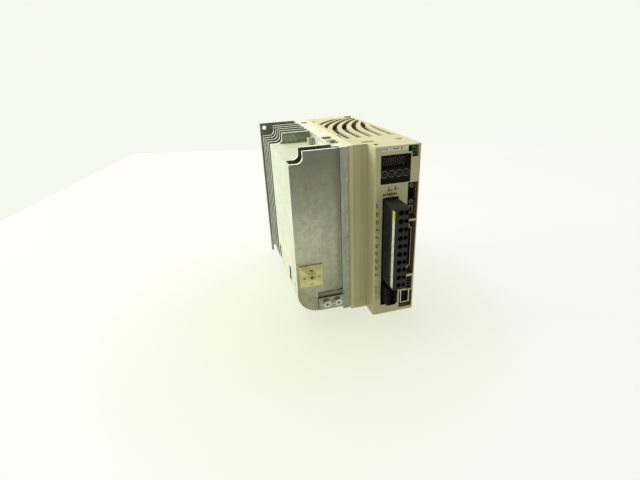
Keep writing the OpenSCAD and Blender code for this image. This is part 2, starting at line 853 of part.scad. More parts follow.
module usb_socket() {
    color("silver") {
        block([101.4, board_x], [154, socket_d], usb_z);
        shell([101.4, 106.4], [socket_d, socket_d + 10], usb_z, 0.5);
        block([103, 104.3], [socket_d, socket_d + 9], [usb_z[0] + 1.2, usb_z[1] - 1.2]);
    }
}

module safety_socket() {
    slot_count = 4;
    slot_pitch = 3.2;
    color("dimgray") difference() {
        union() {
            block([102.1, board_x], [152, socket_d], safety_z);
            block([102.1, 107.6], [socket_d, front_d - 0.6], safety_z);
        }
        for (i = [0:slot_count - 1])
            block([103, 106.6], [front_d - 6, front_d],
                  [safety_z[0] + 1.2 + i * slot_pitch, safety_z[0] + 3 + i * slot_pitch]);
    }
}

module monitor_socket() {
    color("green") difference() {
        block([102.6, 106.8], [socket_d, front_d - 2.5], [150, 157.8]);
        for (z = [152, 154.6])
            block([103.4, 106], [front_d - 6, front_d], [z, z + 1.4]);
    }
}

// ---- Circuit boards ----

module standoff_holes(x) {
    for (p = standoff_places)
        to_right(x - 1, p[0], p[1]) cylinder(r = 1.6, h = 4);
}

module control_board() {
    color("green") difference() {
        block([board_x, board_x + board_t], [board_rear_d, board_front_d], [5, 155]);
        standoff_holes(board_x);
    }
}

module processor() {
    color("black") block([102.6, board_x], [86, 110], [84, 108]);
}

module logic_chips() {
    color("black") {
        for (z = [30, 50, 70])
            for (d = [60, 90, 120])
                block([103.4, board_x], [d, d + 16], [z, z + 8]);
        // gate drivers on the power board
        for (i = [0:5])
            block([power_side_x, power_side_x + 3], [134, 142], [64 + i * 12, 72 + i * 12]);
    }
}

module power_board() {
    color("darkgreen") difference() {
        block([power_x, power_side_x], [14, 156], [6, 154]);
        standoff_holes(power_x);
    }
}

module thermal_pads() {
    color("lightgray") difference() {
        union() {
            block([spine_x1, module_x], [60, 130], [22, 98]);
            block([spine_x1, module_x], [60, 96], [100, 140]);
        }
        for (p = concat(module_places, rectifier_places))
            to_right(spine_x1 - 1, p[0], p[1]) cylinder(r = 1.7, h = 4);
    }
}

module power_module() {
    color("black") difference() {
        union() {
            block([module_x, module_x + 6], [60, 130], [22, 98]);
            for (i = [0:8])
                for (d = [64, 125])
                    block([module_x + 5, power_x], [d, d + 1], [34 + i * 6, 35 + i * 6]);
        }
        for (p = module_places)
            to_right(spine_x1 - 1, p[0], p[1]) cylinder(r = 1.7, h = 12);
    }
}

module rectifier_module() {
    color("black") difference() {
        union() {
            block([module_x, module_x + 6], [60, 96], [100, 140]);
            for (i = [0:3])
                block([module_x + 5, power_x], [64, 65], [110 + i * 6, 111 + i * 6]);
        }
        for (p = rectifier_places)
            to_right(spine_x1 - 1, p[0], p[1]) cylinder(r = 1.7, h = 12);
    }
}

module bus_capacitors() {
    can_r = 12;
    can_l = 36;
    color("navy")
        for (d = [48, 76])
            for (z = [36, 64, 92])
                to_right(power_side_x, d, z) difference() {
                    cylinder(r = can_r, h = can_l);
                    // rolled groove near the base
                    translate([0, 0, 3]) difference() {
                        cylinder(r = can_r + 1, h = 1.4);
                        translate([0, 0, -1]) cylinder(r = can_r - 0.6, h = 4);
                    }
                }
}

module transformer() {
    color("goldenrod") {
        block([power_side_x, power_side_x + 20], [100, 126], [16, 22]);
        block([power_side_x, power_side_x + 20], [100, 126], [38, 44]);
        block([power_side_x + 2, power_side_x + 18], [103, 123], [22, 38]);
    }
}

module choke() {
    color("saddlebrown") to_right(power_side_x, 112, 66) difference() {
        cylinder(r = 13, h = 12);
        translate([0, 0, -1]) cylinder(r = 6.5, h = 14);
    }
}

module relay() {
    color("royalblue") block([power_side_x, power_side_x + 15], [100, 129], [104, 117]);
}

module current_sensors() {
    color("dimgray")
        for (z = [18, 38])
            block([power_side_x, power_side_x + 12], [134, 148], [z, z + 14]);
}

module fuse() {
    fuse_x = power_side_x + 4;
    color("white") {
        translate([left + fuse_x, -105, bottom + 122]) cylinder(r = 2.6, h = 20);
        for (z = [122, 138])
            translate([left + fuse_x, -105, bottom + z]) cylinder(r = 3, h = 4);
        for (z = [122.5, 138.5])
            block([power_side_x, fuse_x], [104.2, 105.8], [z, z + 3]);
    }
}

module board_link() {
    color("black") block([power_side_x, board_x], [22, 28], [60, 100]);
}

// Hexagonal spacers: heat sink to power board, and power board to control board
module standoffs() {
    color("silver")
        for (p = standoff_places) {
            to_right(spine_x1, p[0], p[1]) cylinder(r = 3.2, h = power_x - spine_x1, $fn = 6);
            to_right(power_side_x, p[0], p[1])
                difference() {
                    cylinder(r = 3.2, h = board_x - power_side_x, $fn = 6);
                    translate([0, 0, board_x - power_side_x - 9]) cylinder(r = 1.5, h = 10);
                }
        }
}

resistor_x = spine_x - 16;
resistor_d = [100, 124];
resistor_z = [40, 120];
resistor_screw_places = [[104, 36], [120, 36], [104, 124], [120, 124]];

module regen_resistor() {
    fin_gap = 3;
    color("gold") difference() {
        union() {
            block([resistor_x, spine_x], resistor_d, resistor_z);
            block([spine_x - 3, spine_x], resistor_d, [resistor_z[0] - 9, resistor_z[1] + 9]);
        }
        for (i = [0:3])
            block([resistor_x - 1, resistor_x + 4], [103 + i * 5, 103 + i * 5 + fin_gap],
                  [resistor_z[0] - 1, resistor_z[1] + 1]);
        for (p = resistor_screw_places)
            to_right(spine_x - 5, p[0], p[1]) cylinder(r = 1.6, h = 10);
    }
}

// All the small pan-head screws inside: case lips, modules, resistor and control board
module m3_screws() {
    color("silver") {
        for (p = case_screw_places)
            to_right(case_x + wall_t, p[0], p[1]) screw(2.7, 2, 1.5, 7);
        for (p = module_places)
            to_right(module_x + 6, p[0], p[1]) screw(2.7, 2, 1.5, 11);
        for (p = rectifier_places)
            to_right(module_x + 6, p[0], p[1]) screw(2.7, 2, 1.5, 11);
        for (p = resistor_screw_places)
            to_left(spine_x - 3, p[0], p[1]) screw(2.7, 2, 1.5, 7);
        for (p = standoff_places)
            to_right(board_x + board_t, p[0], p[1]) screw(2.7, 1.3, 1.45, 8);
    }
}

mounting_plate();
plate_screws();
heat_sink();
front_plate();
side_cover();
tie_mount();
ground_block();
ground_screws();
ground_washers();
standoff_post();
retaining_clip();
main_case();
front_cover();
rating_label();
name_label();
display_bezel();
display_window();
digit_display();
digit_segments();
display_board();
tact_switches();
mode_button();
up_button();
down_button();
set_button();
terminal_header();
header_pins();
terminal_board();
power_plug();
plug_clamps();
plug_label();
motor_plug();
motor_clamps();
io_socket();
io_shell();
encoder_socket();
encoder_shell();
serial_socket();
serial_nuts();
usb_socket();
safety_socket();
monitor_socket();
control_board();
processor();
logic_chips();
power_board();
power_module();
rectifier_module();
thermal_pads();
bus_capacitors();
transformer();
choke();
relay();
current_sensors();
fuse();
board_link();
standoffs();
m3_screws();
regen_resistor();
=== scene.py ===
"""Servo drive: camera, stage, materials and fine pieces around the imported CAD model."""
import json
import math
from random import Random

import bmesh
import bpy
from mathutils import Matrix, Vector


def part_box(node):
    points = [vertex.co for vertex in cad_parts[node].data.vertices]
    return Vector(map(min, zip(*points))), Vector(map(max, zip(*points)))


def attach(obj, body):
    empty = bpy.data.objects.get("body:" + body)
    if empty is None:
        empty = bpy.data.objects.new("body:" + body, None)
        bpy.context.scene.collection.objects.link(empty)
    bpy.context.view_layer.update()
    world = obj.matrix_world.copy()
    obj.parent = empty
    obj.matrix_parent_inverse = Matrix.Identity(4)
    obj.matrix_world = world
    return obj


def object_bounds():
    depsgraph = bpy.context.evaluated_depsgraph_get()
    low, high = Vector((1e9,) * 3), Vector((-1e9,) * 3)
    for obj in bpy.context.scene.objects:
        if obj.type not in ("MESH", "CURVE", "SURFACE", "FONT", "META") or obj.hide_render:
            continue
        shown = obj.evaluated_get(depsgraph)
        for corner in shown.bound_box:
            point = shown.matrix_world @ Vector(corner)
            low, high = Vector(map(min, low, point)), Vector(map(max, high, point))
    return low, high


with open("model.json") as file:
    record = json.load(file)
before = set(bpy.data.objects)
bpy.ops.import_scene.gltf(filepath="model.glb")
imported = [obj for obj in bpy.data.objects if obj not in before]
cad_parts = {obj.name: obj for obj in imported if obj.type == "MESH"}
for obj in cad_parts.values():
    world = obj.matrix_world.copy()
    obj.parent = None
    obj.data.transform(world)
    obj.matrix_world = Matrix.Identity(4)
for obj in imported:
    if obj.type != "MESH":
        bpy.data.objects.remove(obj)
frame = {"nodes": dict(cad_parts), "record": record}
CAD_BOX = [list(corner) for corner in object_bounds()]
NODES = frame["nodes"]

MM = 0.001
PLATE_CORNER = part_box("mounting_plate")[0]
LEFT = PLATE_CORNER.x
BOTTOM = PLATE_CORNER.z


def at(x, depth, z):
    """Point in the row frame from panel measures in mm: from the left, from the rear, from the bottom."""
    return Vector((LEFT + x * MM, -depth * MM, BOTTOM + z * MM))


def x_at(x):
    return at(x, 0, 0).x


def y_at(depth):
    return at(0, depth, 0).y


def z_at(z):
    return at(0, 0, z).z


# ---- Camera and stage ----

CAMERA_PLACE = at(-56.8, 485.6, 230.7)
CAMERA_YAW = math.radians(14.13)
CAMERA_PITCH = math.radians(24.52)
CAMERA_ROLL = math.radians(-2.65)
CAMERA_LENS = 23.08
SENSOR_WIDTH = 36.0


def add_camera():
    yaw, pitch, roll = CAMERA_YAW, CAMERA_PITCH, CAMERA_ROLL
    forward = Vector((math.sin(yaw) * math.cos(pitch), math.cos(yaw) * math.cos(pitch), -math.sin(pitch)))
    level_right = Vector((math.cos(yaw), -math.sin(yaw), 0))
    level_up = level_right.cross(forward)
    right = math.cos(roll) * level_right + math.sin(roll) * level_up
    up = math.cos(roll) * level_up - math.sin(roll) * level_right
    data = bpy.data.cameras.new("camera")
    data.lens = CAMERA_LENS
    data.sensor_width = SENSOR_WIDTH
    data.clip_start = 0.01
    camera = bpy.data.objects.new("camera", data)
    turn = Matrix((right, up, -forward)).transposed().to_4x4()
    camera.matrix_world = Matrix.Translation(CAMERA_PLACE) @ turn
    bpy.context.scene.collection.objects.link(camera)
    bpy.context.scene.camera = camera


def add_area_light(name, place, target, size, power):
    data = bpy.data.lights.new(name, "AREA")
    data.shape = "RECTANGLE"
    data.size, data.size_y = size
    data.energy = power
    light = bpy.data.objects.new(name, data)
    aim = Vector(target) - Vector(place)
    light.rotation_euler = aim.to_track_quat("-Z", "Y").to_euler()
    light.location = place
    bpy.context.scene.collection.objects.link(light)


def add_world(seen, rear, front):
    """Pale backdrop for the camera; other rays see a studio that is bright behind and dim in front."""
    world = bpy.data.worlds.new("studio")
    world.use_nodes = True
    bpy.context.scene.world = world
    nodes, links = world.node_tree.nodes, world.node_tree.links
    direction = nodes.new("ShaderNodeSeparateXYZ")
    links.new(nodes.new("ShaderNodeTexCoord").outputs["Generated"], direction.inputs[0])
    rise = nodes.new("ShaderNodeMapRange")
    rise.interpolation_type = "SMOOTHSTEP"
    rise.inputs["From Min"].default_value = -0.35
    rise.inputs["From Max"].default_value = 0.45
    links.new(direction.outputs["Y"], rise.inputs["Value"])
    surround = nodes.new("ShaderNodeMix")
    surround.data_type = "RGBA"
    colours = [socket for socket in surround.inputs if socket.type == "RGBA"]
    colours[0].default_value = (*front, 1)
    colours[1].default_value = (*rear, 1)
    links.new(rise.outputs["Result"], surround.inputs["Factor"])
    fill = nodes["Background"]
    links.new([socket for socket in surround.outputs if socket.type == "RGBA"][0], fill.inputs["Color"])
    backdrop = nodes.new("ShaderNodeBackground")
    backdrop.inputs["Color"].default_value = (*seen, 1)
    path = nodes.new("ShaderNodeLightPath")
    mix = nodes.new("ShaderNodeMixShader")
    links.new(path.outputs["Is Camera Ray"], mix.inputs[0])
    links.new(fill.outputs[0], mix.inputs[1])
    links.new(backdrop.outputs[0], mix.inputs[2])
    links.new(mix.outputs[0], nodes["World Output"].inputs["Surface"])


# ---- Shader building ----

class Shader:
    """One material's node tree, with short calls for the nodes that are used here."""

    def __init__(self, name):
        self.material = bpy.data.materials.new(name)
        self.material.use_nodes = True
        self.nodes = self.material.node_tree.nodes
        self.links = self.material.node_tree.links
        self.bsdf = self.nodes["Principled BSDF"]
        self.place = self.nodes.new("ShaderNodeTexCoord").outputs["Object"]

    def set(self, **values):
        for name, value in values.items():
            socket = self.bsdf.inputs[name.replace("_", " ")]
            if isinstance(value, bpy.types.NodeSocket):
                self.links.new(value, socket)
            else:
                socket.default_value = value

    def stretched(self, stretch):
        mapping = self.nodes.new("ShaderNodeMapping")
        mapping.inputs["Scale"].default_value = stretch
        self.links.new(self.place, mapping.inputs["Vector"])
        return mapping.outputs["Vector"]

    def noise(self, scale, detail=3.0, roughness=0.55, stretch=None):
        node = self.nodes.new("ShaderNodeTexNoise")
        node.inputs["Scale"].default_value = scale
        node.inputs["Detail"].default_value = detail
        node.inputs["Roughness"].default_value = roughness
        self.links.new(self.stretched(stretch) if stretch else self.place, node.inputs["Vector"])
        return node.outputs["Fac"]

    def cell_edges(self, scale, stretch):
        """Distance to the nearest edge between irregular cells."""
        node = self.nodes.new("ShaderNodeTexVoronoi")
        node.feature = "DISTANCE_TO_EDGE"
        node.inputs["Scale"].default_value = scale
        self.links.new(self.stretched(stretch), node.inputs["Vector"])
        return node.outputs["Distance"]

    def along(self, axis):
        """One coordinate of the surface, in metres."""
        node = self.nodes.new("ShaderNodeSeparateXYZ")
        self.links.new(self.place, node.inputs[0])
        return node.outputs[axis]

    def near(self, spot, axes, inner, outer):
        """1 within the inner distance of a spot, falling to 0 at the outer one; distances in metres."""
        total = None
        for axis in axes:
            offset = self.combine("SUBTRACT", self.along(axis), getattr(spot, axis.lower()))
            square = self.combine("MULTIPLY", offset, offset)
            total = self.combine("ADD", total, square) if total else square
        return self.spread(self.combine("SQRT", total, 0), inner, outer, 1, 0)

    def facing(self, axis):
        """How far the surface faces along one axis of the object, from -1 to 1."""
        geometry = self.nodes.new("ShaderNodeTexCoord")
        node = self.nodes.new("ShaderNodeSeparateXYZ")
        self.links.new(geometry.outputs["Normal"], node.inputs[0])
        return node.outputs[axis]

    def spread(self, value, low, high, to_low=0.0, to_high=1.0):
        node = self.nodes.new("ShaderNodeMapRange")
        self.links.new(value, node.inputs["Value"])
        node.inputs["From Min"].default_value = low
        node.inputs["From Max"].default_value = high
        node.inputs["To Min"].default_value = to_low
        node.inputs["To Max"].default_value = to_high
        return node.outputs["Result"]

    def combine(self, kind, a, b):
        node = self.nodes.new("ShaderNodeMath")
        node.operation = kind
        for socket, value in zip(node.inputs, (a, b)):
            if isinstance(value, bpy.types.NodeSocket):
                self.links.new(value, socket)
            else:
                socket.default_value = value
        return node.outputs[0]

    def blend(self, factor, low, high):
        node = self.nodes.new("ShaderNodeMix")
        node.data_type = "RGBA"
        self.links.new(factor, node.inputs["Factor"])
        for name, value in (("A", low), ("B", high)):
            socket = [s for s in node.inputs if s.name == name and s.type == "RGBA"][0]
            if isinstance(value, bpy.types.NodeSocket):
                self.links.new(value, socket)
            else:
                socket.default_value = (*value, 1)
        return [s for s in node.outputs if s.type == "RGBA"][0]

    def bump(self, height, distance, strength):
        node = self.nodes.new("ShaderNodeBump")
        node.inputs["Distance"].default_value = distance
        node.inputs["Strength"].default_value = strength
        self.links.new(height, node.inputs["Height"])
        return node.outputs["Normal"]


def moulded_plastic(name, colour, shade, roughness, specular=0.45):
    """Fine-grained moulding, slightly uneven in colour, with soft handling marks in its gloss."""
    shader = Shader(name)
    patches = shader.spread(shader.noise(38, 4), 0.35, 0.68)
    marks = shader.spread(shader.noise(260, 5, 0.7, (1, 1, 0.35)), 0.42, 0.7)
    tint = shader.blend(patches, colour, shade)
    grain = shader.noise(2600, 2, 0.5)
    shader.set(
        Base_Color=tint,
        Roughness=shader.spread(marks, 0, 1, roughness, roughness + 0.12),
        Normal=shader.bump(grain, 0.00004, 0.6),
    )
    shader.set(Specular_IOR_Level=specular)
    return shader.material


def cast_metal(name, light, dark, roughness, streak=(1, 1, 0.08), edges=None):
    """Mottled aluminium with faint streaks from machining; faces that look up or left can get a painted
    highlight.
    """
    shader = Shader(name)
    mottle = shader.spread(shader.noise(240, 8, 0.75), 0.35, 0.68)
    lines = shader.spread(shader.noise(700, 3, 0.6, streak), 0.35, 0.65)
    clouds = shader.spread(shader.noise(22, 4, 0.55), 0.35, 0.65)
    spots = shader.spread(shader.noise(90, 3, 0.6), 0.60, 0.72)
    fine = shader.combine("ADD", shader.combine("MULTIPLY", mottle, 0.4),
                          shader.combine("MULTIPLY", lines, 0.3))
    both = shader.combine("ADD", fine, shader.combine("MULTIPLY", clouds, 0.4))
    tint = shader.blend(both, dark, light)
    lighter = tuple(min(1, part * 1.12) for part in light)
    # painted highlight: faces that look up or left are lightened toward the given tone, broken up by noise
    if edges:
        left = shader.combine("MULTIPLY", shader.facing("X"), -1)
        cut = shader.spread(shader.combine("MAXIMUM", shader.facing("Z"), left), 0.2, 0.7)
        wear_and_sheen = shader.spread(shader.noise(330, 6, 0.75), 0.40, 0.60, 0.45, 1)
        tint = shader.blend(shader.combine("MULTIPLY", cut, wear_and_sheen), tint, edges)
        lighter = edges
    shader.set(
        Base_Color=shader.blend(shader.combine("MULTIPLY", spots, 0.22), tint, lighter),
        Roughness=shader.spread(both, 0, 1, roughness + 0.12, roughness),
        Normal=shader.bump(shader.noise(1100, 5, 0.7), 0.00005, 0.6),
    )
    shader.set(Metallic=0.8)
    return shader.material


def weathered_plate_with_painted_light():
    """The front plate: darker toward its top, with painted shade toward its right edge and a painted
    highlight on faces that look up or left; stained near the bottom, lightly pitted.
    """
    shader = Shader("weathered_plate_with_painted_light")
    mottle = shader.spread(shader.noise(230, 9, 0.85), 0.40, 0.60)
    clouds = shader.spread(shader.noise(26, 5, 0.65, (1, 1, 0.45)), 0.40, 0.60)
    lines = shader.spread(shader.noise(500, 2, 0.5, (1, 1, 0.05)), 0.35, 0.7)
    height = shader.along("Z")
    light = shader.blend(shader.spread(height, z_at(150), z_at(85)), PLATE_DARK, PLATE_MID)
    light = shader.blend(shader.spread(height, z_at(70), z_at(20), 0, 0.7), light, PLATE_LOW)
    wear_and_sheen = shader.combine("ADD", shader.combine("MULTIPLY", mottle, 0.45),
                          shader.combine("MULTIPLY", clouds, 0.4))
    wear_and_sheen = shader.combine("ADD", wear_and_sheen, shader.combine("MULTIPLY", lines, 0.15))
    tint = shader.blend(shader.combine("MULTIPLY", wear_and_sheen, 0.72), light, PLATE_DARK)
    # painted shade: the plate darkens toward its right edge
    edge = shader.spread(shader.along("X"), x_at(36), x_at(40), 0, 0.45)
    tint = shader.blend(edge, tint, PLATE_STAIN_AND_SHADE)
    low = shader.spread(height, z_at(60), z_at(22))
    stains = shader.combine("MULTIPLY", shader.spread(shader.noise(110, 6, 0.7), 0.48, 0.66), low)
    # painted highlight: faces that look up or left are lightened toward a pale tone
    left = shader.combine("MULTIPLY", shader.facing("X"), -1)
    cut = shader.spread(shader.combine("MAXIMUM", shader.facing("Z"), left), 0.3, 0.8, 0, 0.9)
    tint = shader.blend(shader.combine("MULTIPLY", stains, 0.5), tint, PLATE_STAIN_AND_SHADE)
    shader.set(
        Base_Color=shader.blend(cut, tint, (0.88, 0.90, 0.76)),
        Roughness=shader.spread(mottle, 0, 1, 0.42, 0.56),
        Normal=shader.bump(shader.noise(900, 6, 0.75), 0.00009, 0.8),
    )
    shader.set(Metallic=0.7)
    return shader.material


def ground_metal():
    """Pitted plated metal, darker in its stains; its shoulder is darkened as painted shade from the recess
    above it.
    """
    shader = Shader("ground_metal")
    pits = shader.spread(shader.noise(380, 8, 0.85), 0.40, 0.60)
    tint = shader.blend(pits, (0.17, 0.175, 0.13), (0.52, 0.53, 0.42))
    # painted shade: the shoulder sits under the plate's cutout and is darkened
    shoulder = shader.spread(shader.along("Z"), z_at(21.2), z_at(21.8), 0, 0.75)
    shader.set(
        Base_Color=shader.blend(shoulder, tint, (0.17, 0.165, 0.115)),
        Roughness=shader.spread(pits, 0, 1, 0.5, 0.3),
        Normal=shader.bump(shader.noise(1000, 4, 0.7), 0.00006, 0.7),
    )
    shader.set(Metallic=0.75)
    return shader.material


def tie_plastic():
    """Yellowed nylon, blotched brown around its middle."""
    shader = Shader("tie_plastic")
    patches = shader.spread(shader.noise(120, 5, 0.65), 0.38, 0.64)
    tint = shader.blend(patches, (0.90, 0.86, 0.40), (0.72, 0.64, 0.26))
    middle = shader.near(at(13.5, 0, 47.4), "XZ", 0.0015, 0.0062)
    middle_blotches = shader.spread(shader.noise(520, 4, 0.7), 0.42, 0.60, 0.1, 0.75)
    middle_browning = shader.combine("MULTIPLY", middle, middle_blotches)
    shader.set(
        Base_Color=shader.blend(middle_browning, tint, (0.36, 0.22, 0.06)),
        Roughness=shader.spread(patches, 0, 1, 0.34, 0.46),
        Normal=shader.bump(shader.noise(1500, 3, 0.5), 0.00004, 0.6),
    )
    return shader.material


def screw_metal():
    """Bright plated heads; front faces deep in their recesses are painted near black as shade."""
    shader = Shader("screw_metal")
    clouds = shader.spread(shader.noise(900, 4, 0.65), 0.35, 0.7)
    # painted shade: front faces deep in the recesses are near black
    deep = shader.combine("GREATER_THAN", shader.along("Y"), y_at(170.7))
    forward = shader.combine("LESS_THAN", shader.facing("Y"), -0.7)
    tint = shader.blend(clouds, (0.82, 0.82, 0.72), (0.40, 0.40, 0.33))
    shader.set(
        Base_Color=shader.blend(shader.combine("MULTIPLY", deep, forward), tint, (0.015, 0.015, 0.012)),
        Roughness=shader.spread(clouds, 0, 1, 0.24, 0.38),
    )
    shader.set(Metallic=0.9)
    return shader.material


def painted_sheet():
    """Pale paint on sheet metal, a little orange-peeled and handled; its interior near the bottom and the cut
    faces of its slots are painted near black as shade.
    """
    shader = Shader("painted_sheet")
    clouds = shader.spread(shader.noise(45, 7, 0.7), 0.40, 0.62)
    speckle = shader.spread(shader.noise(430, 6, 0.8), 0.46, 0.66)
    base = shader.blend(clouds, (0.64, 0.67, 0.50), (0.53, 0.57, 0.40))
    tint = shader.blend(shader.combine("MULTIPLY", speckle, 0.55), base, (0.42, 0.46, 0.31))
    height = shader.along("Z")
    low = shader.spread(height, z_at(44), z_at(24))
    wear_and_sheen = shader.combine("MULTIPLY", shader.spread(shader.noise(260, 5, 0.75), 0.50, 0.62), low)
    tint = shader.blend(shader.combine("MULTIPLY", wear_and_sheen, 0.6), tint, (0.24, 0.25, 0.16))
    # painted shade: upward faces of the interior near the bottom are near black
    shaded_inside = shader.combine("GREATER_THAN", shader.along("X"), x_at(0.9))
    shaded_inside = shader.combine("MULTIPLY", shaded_inside, shader.combine("LESS_THAN", height, z_at(29)))
    upward = shader.combine("GREATER_THAN", shader.facing("Z"), 0.02)
    shaded_inside = shader.combine("MULTIPLY", shaded_inside, upward)
    # painted shade on the faces where the slots near the bottom are cut through the sheet
    forward = shader.combine("LESS_THAN", shader.facing("Y"), -0.5)
    behind = shader.combine("GREATER_THAN", shader.along("Y"), y_at(148))
    below = shader.combine("LESS_THAN", height, z_at(44.5))
    cut = shader.combine("MULTIPLY", forward, shader.combine("MULTIPLY", behind, below))
    shader.set(
        Base_Color=shader.blend(shader.combine("MAXIMUM", shaded_inside, cut), tint, (0.035, 0.036, 0.028)),
        Roughness=shader.spread(speckle, 0, 1, 0.36, 0.5),
        Normal=shader.bump(shader.noise(700, 3, 0.6), 0.00006, 0.7),
    )
    return shader.material


def cover_plastic():
    """The beige moulding; deep within the connector bays it is painted brown as shade."""
    shader = Shader("beige_plastic")
    patches = shader.spread(shader.noise(38, 4), 0.35, 0.68)
    marks = shader.spread(shader.noise(260, 5, 0.7, (1, 1, 0.35)), 0.42, 0.7)
    # painted shade: darker vertical streaks on the setback face stand in for the shading of fine ribs
    ribs = shader.spread(shader.noise(420, 2, 0.5, (1, 1, 0.01)), 0.42, 0.62)
    forward = shader.combine("GREATER_THAN", shader.combine("MULTIPLY", shader.facing("Y"), -1), 0.7)
    setback = shader.combine("LESS_THAN", shader.along("X"), x_at(69))
    ribs = shader.combine("MULTIPLY", ribs, shader.combine("MULTIPLY", forward, setback))
    tint = shader.blend(patches, BEIGE, BEIGE_SHADE)
    tint = shader.blend(shader.combine("MULTIPLY", ribs, 0.45), tint, BEIGE_RIB_SHADE)
    # the narrow band beside the heat sink is paler
    beside = shader.combine("LESS_THAN", shader.along("X"), x_at(56))
    tint = shader.blend(shader.combine("MULTIPLY", beside, 0.8), tint, BEIGE_PALE)
    # painted shade: walls deep within the connector bays turn brown
    shaded_inside = None
    limits = (("X", "GREATER_THAN", x_at(93.3)), ("X", "LESS_THAN", x_at(109.2)),
              ("Y", "GREATER_THAN", y_at(179.3)), ("Y", "LESS_THAN", y_at(166)),
              ("Z", "GREATER_THAN", z_at(2.6)), ("Z", "LESS_THAN", z_at(127.9)))
    for axis, kind, limit in limits:
        test = shader.combine(kind, shader.along(axis), limit)
        shaded_inside = shader.combine("MULTIPLY", shaded_inside, test) if shaded_inside else test
    shader.set(
        Base_Color=shader.blend(shaded_inside, tint, BAY_SHADE_BROWN),
        Roughness=shader.spread(marks, 0, 1, 0.40, 0.52),
        Normal=shader.bump(shader.noise(2600, 2, 0.5), 0.00004, 0.6),
    )
    shader.set(Specular_IOR_Level=0.4)
    return shader.material


def plated(name, colour, shade, roughness):
    """Plated steel with a slightly uneven, finely scratched surface."""
    shader = Shader(name)
    clouds = shader.spread(shader.noise(900, 4, 0.65), 0.35, 0.7)
    scratches = shader.noise(3600, 3, 0.6, (1, 0.15, 1))
    shader.set(
        Base_Color=shader.blend(clouds, colour, shade),
        Roughness=shader.spread(clouds, 0, 1, roughness, roughness + 0.15),
        Normal=shader.bump(scratches, 0.00001, 0.5),
    )
    shader.set(Metallic=1.0)
    return shader.material


def circuit_board():
    """Brown board with faint tracks under its varnish."""
    shader = Shader("circuit_board")
    tracks = shader.cell_edges(420, (1, 1, 0.5))
    lines = shader.spread(tracks, 0.04, 0.09)
    shader.set(
        Base_Color=shader.blend(lines, (0.26, 0.15, 0.13), (0.17, 0.095, 0.085)),
        Roughness=shader.spread(lines, 0, 1, 0.32, 0.24),
        Normal=shader.bump(lines, 0.00004, 0.5),
    )
    return shader.material


def window_glass():
    """Smoked window that lets the figures behind it show faintly."""
    shader = Shader("smoked_window")
    haze = shader.spread(shader.noise(120, 2), 0.3, 0.7)
    shader.set(
        Base_Color=shader.blend(haze, (0.006, 0.006, 0.005), (0.010, 0.010, 0.008)),
        Roughness=shader.spread(haze, 0, 1, 0.12, 0.16),
        Alpha=0.3,
    )
    shader.set(Specular_IOR_Level=0.12)
    return shader.material


def rim_plastic():
    """Glossy black rim whose upper edge carries a painted highlight."""
    shader = Shader("rim_plastic")
    # painted highlight: faces that look up are lightened toward near white
    upper = shader.spread(shader.facing("Z"), 0.1, 0.8)
    wear_and_sheen = shader.combine("MULTIPLY", upper, shader.spread(shader.noise(500, 4, 0.6), 0.3, 0.6, 0.5, 1))
    shader.set(Base_Color=shader.blend(wear_and_sheen, (0.16, 0.155, 0.13), (0.95, 0.95, 0.85)), Roughness=0.25)
    return shader.material


def printed_film(name, colour, shade):
    """Label film, slightly uneven in colour."""
    shader = Shader(name)
    clouds = shader.spread(shader.noise(200, 4, 0.6), 0.3, 0.7)
    tint = shader.blend(clouds, colour, shade)
    shader.set(Base_Color=tint, Roughness=0.42)
    return shader.material


PLATE_DARK = (0.24, 0.25, 0.19)
PLATE_MID = (0.62, 0.64, 0.48)
PLATE_LOW = (0.40, 0.395, 0.27)
PLATE_STAIN_AND_SHADE = (0.17, 0.165, 0.11)
BEIGE = (0.60, 0.56, 0.325)
BEIGE_SHADE = (0.55, 0.51, 0.285)
BEIGE_RIB_SHADE = (0.44, 0.40, 0.21)
BAY_SHADE_BROWN = (0.27, 0.18, 0.11)
BEIGE_PALE = (0.74, 0.71, 0.44)

# Plain mouldings by slot: two colours they vary between, roughness and, where it isn't the usual, gloss
PLASTICS = {
    "black_plastic": ((0.005, 0.005, 0.004), (0.009, 0.009, 0.008), 0.45, 0.07),
    "dark_grey_plastic": ((0.025, 0.027, 0.020), (0.019, 0.021, 0.015), 0.5, 0.25),
    "button_plastic": ((0.010, 0.010, 0.008), (0.016, 0.015, 0.013), 0.32, 0.15),
    "cream_plastic": ((0.86, 0.82, 0.38), (0.70, 0.62, 0.24), 0.36),
    "green_plastic": ((0.025, 0.20, 0.04), (0.012, 0.11, 0.02), 0.35),
    "chip": ((0.02, 0.02, 0.022), (0.035, 0.035, 0.036), 0.5),
    "relay_plastic": ((0.05, 0.12, 0.36), (0.04, 0.09, 0.28), 0.3),
    "ceramic": ((0.44, 0.43, 0.38), (0.36, 0.34, 0.30), 0.35),
    "capacitor_sleeve": ((0.10, 0.055, 0.06), (0.14, 0.08, 0.08), 0.35),
    "transformer_core": ((0.55, 0.42, 0.06), (0.42, 0.31, 0.04), 0.35),
    "ferrite": ((0.30, 0.14, 0.05), (0.20, 0.09, 0.03), 0.35),
    "thermal_pad": ((0.35, 0.37, 0.40), (0.30, 0.32, 0.35), 0.7),
    "segment": ((0.42, 0.38, 0.34), (0.30, 0.27, 0.24), 0.5),
}

